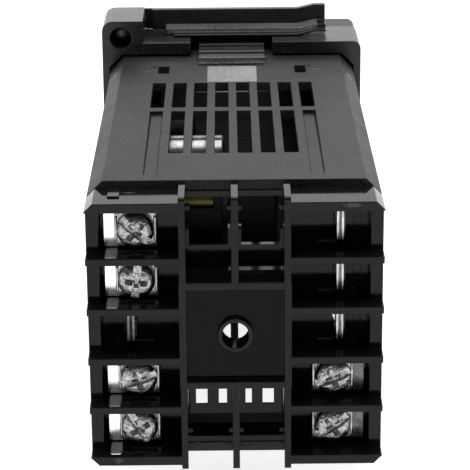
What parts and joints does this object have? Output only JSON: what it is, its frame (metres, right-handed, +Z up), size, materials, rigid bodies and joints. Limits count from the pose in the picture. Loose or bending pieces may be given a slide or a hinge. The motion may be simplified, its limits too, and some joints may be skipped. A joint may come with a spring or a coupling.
{
  "type": "pid temperature controller",
  "caption": "Square panel-mounting temperature controller: long vented case, screw-terminal rear block, display bezel with keys, and a sliding mounting frame with release levers.",
  "frame": {"origin": "centre of the plane where the bezel's flange seats on the panel", "axes": "+Z up, display towards -Y, wiring terminals towards +Y, X to the side"},
  "size_m": [0.048, 0.1102, 0.0594],
  "materials": {
    "case_plastic": "fine spark-eroded texture",
    "block_plastic": "semi-gloss",
    "frame_plastic": "semi-gloss",
    "bezel_plastic": "fine texture",
    "window_plastic": "dark tinted, polished",
    "key_plastic": "satin",
    "nickel_steel": "bright nickel plate",
    "contact_metal": "tinned, satin",
    "board_laminate": "solder resist",
    "display_plastic": "satin",
    "lamp_plastic": "translucent",
    "switch_plastic": "satin",
    "core_steel": "laminated",
    "coil_tape": "polyester tape",
    "can_aluminium": "bright",
    "relay_plastic": "satin"
  },
  "bodies": {
    "case": {"case_sleeve": "case_plastic", "terminal_block": "block_plastic", "front_bezel": "bezel_plastic", "display_window": "window_plastic", "terminal_screws": "nickel_steel", "screw_washers": "nickel_steel", "contact_plate_1": "contact_metal", "contact_plate_2": "contact_metal", "contact_plate_3": "contact_metal", "contact_plate_4": "contact_metal", "contact_plate_5": "contact_metal", "contact_plate_6": "contact_metal", "contact_blade_1": "contact_metal", "contact_blade_2": "contact_metal", "contact_blade_3": "contact_metal", "contact_blade_4": "contact_metal", "display_board": "board_laminate", "power_board": "board_laminate", "control_board": "board_laminate", "process_display": "display_plastic", "setpoint_display": "display_plastic", "indicator_lamps": "lamp_plastic", "key_switches": "switch_plastic", "power_header": "switch_plastic", "control_header": "switch_plastic", "transformer_core": "core_steel", "transformer_coil": "coil_tape", "reservoir_capacitor": "can_aluminium", "filter_capacitor": "can_aluminium", "output_relay": "relay_plastic"},
    "frame": {"mounting_frame": "frame_plastic", "clamp_screws": "nickel_steel"},
    "top_lever": {"release_lever_top": "frame_plastic"},
    "bottom_lever": {"release_lever_bottom": "frame_plastic"},
    "set_key_body": {"set_key": "key_plastic"},
    "shift_key_body": {"shift_key": "key_plastic"},
    "down_key_body": {"down_key": "key_plastic"},
    "up_key_body": {"up_key": "key_plastic"}
  },
  "joints": [
    {"name": "frame_slide", "type": "slide", "parent": "case", "child": "frame", "axis": [0, 1, 0], "range_m": [0, 0.105]},
    {"name": "top_lever_lift", "type": "hinge", "parent": "frame", "child": "top_lever", "pos_m": [0.01555, 0.0029, 0.027], "axis": [0, 1, 0], "range_deg": [0, 5], "stiffness_Nm_per_rad": 0.2},
    {"name": "bottom_lever_lift", "type": "hinge", "parent": "frame", "child": "bottom_lever", "pos_m": [-0.01555, 0.0029, -0.027], "axis": [0, 1, 0], "range_deg": [0, 5], "stiffness_Nm_per_rad": 0.2},
    {"name": "set_key_press", "type": "slide", "parent": "case", "child": "set_key_body", "axis": [0, 1, 0], "range_m": [0, 0.0005], "stiffness_N_per_m": 300},
    {"name": "shift_key_press", "type": "slide", "parent": "case", "child": "shift_key_body", "axis": [0, 1, 0], "range_m": [0, 0.0005], "stiffness_N_per_m": 300},
    {"name": "down_key_press", "type": "slide", "parent": "case", "child": "down_key_body", "axis": [0, 1, 0], "range_m": [0, 0.0005], "stiffness_N_per_m": 300},
    {"name": "up_key_press", "type": "slide", "parent": "case", "child": "up_key_body", "axis": [0, 1, 0], "range_m": [0, 0.0005], "stiffness_N_per_m": 300}
  ]
}
